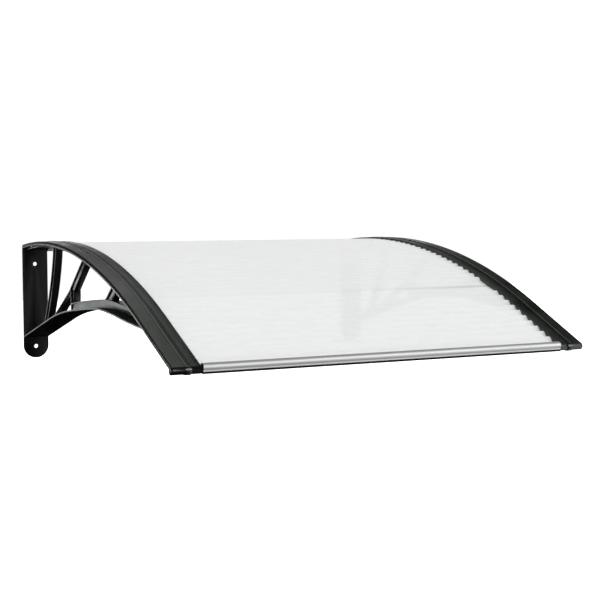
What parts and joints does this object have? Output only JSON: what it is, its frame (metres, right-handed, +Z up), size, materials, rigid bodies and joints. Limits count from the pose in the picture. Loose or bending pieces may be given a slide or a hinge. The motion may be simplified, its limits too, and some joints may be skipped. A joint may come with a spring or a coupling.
{
  "type": "door canopy",
  "caption": "Curved clear polycarbonate door canopy on moulded black wall brackets, with cover strips, an aluminium front bar and a wall rail.",
  "frame": {"origin": "in the wall plane, in the middle of the width, at the level of the wall plates' top edges, on the back face of the wall rail", "axes": "+X runs right along the wall for someone who faces it, +Y points into the wall, +Z is up; the canopy reaches out towards -Y"},
  "size_m": [1, 0.995, 0.3033],
  "materials": {
    "black_plastic": "semi-matt moulded",
    "grained_black_plastic": "fine moulded grain",
    "clear_polycarbonate": "clear, glossy",
    "satin_aluminium": "satin anodised",
    "black_rubber": "matt",
    "zinc_plated_steel": "bright"
  },
  "bodies": {
    "root": {"bracket_left": "black_plastic", "bracket_right": "black_plastic", "nose_clip_left": "black_plastic", "nose_clip_right": "black_plastic", "cover_strip_left": "grained_black_plastic", "cover_strip_right": "grained_black_plastic", "roof_sheet": "clear_polycarbonate", "front_bar": "satin_aluminium", "wall_rail": "satin_aluminium", "front_seal": "black_rubber", "wall_seal": "black_rubber", "gasket_left": "black_rubber", "gasket_right": "black_rubber", "strip_screw_left_1": "zinc_plated_steel", "strip_screw_left_2": "zinc_plated_steel", "strip_screw_left_3": "zinc_plated_steel", "strip_screw_left_4": "zinc_plated_steel", "strip_screw_left_5": "zinc_plated_steel", "strip_screw_right_1": "zinc_plated_steel", "strip_screw_right_2": "zinc_plated_steel", "strip_screw_right_3": "zinc_plated_steel", "strip_screw_right_4": "zinc_plated_steel", "strip_screw_right_5": "zinc_plated_steel", "bar_screw_left": "zinc_plated_steel", "bar_screw_right": "zinc_plated_steel", "rail_screw_left": "zinc_plated_steel", "rail_screw_right": "zinc_plated_steel"}
  },
  "joints": []
}
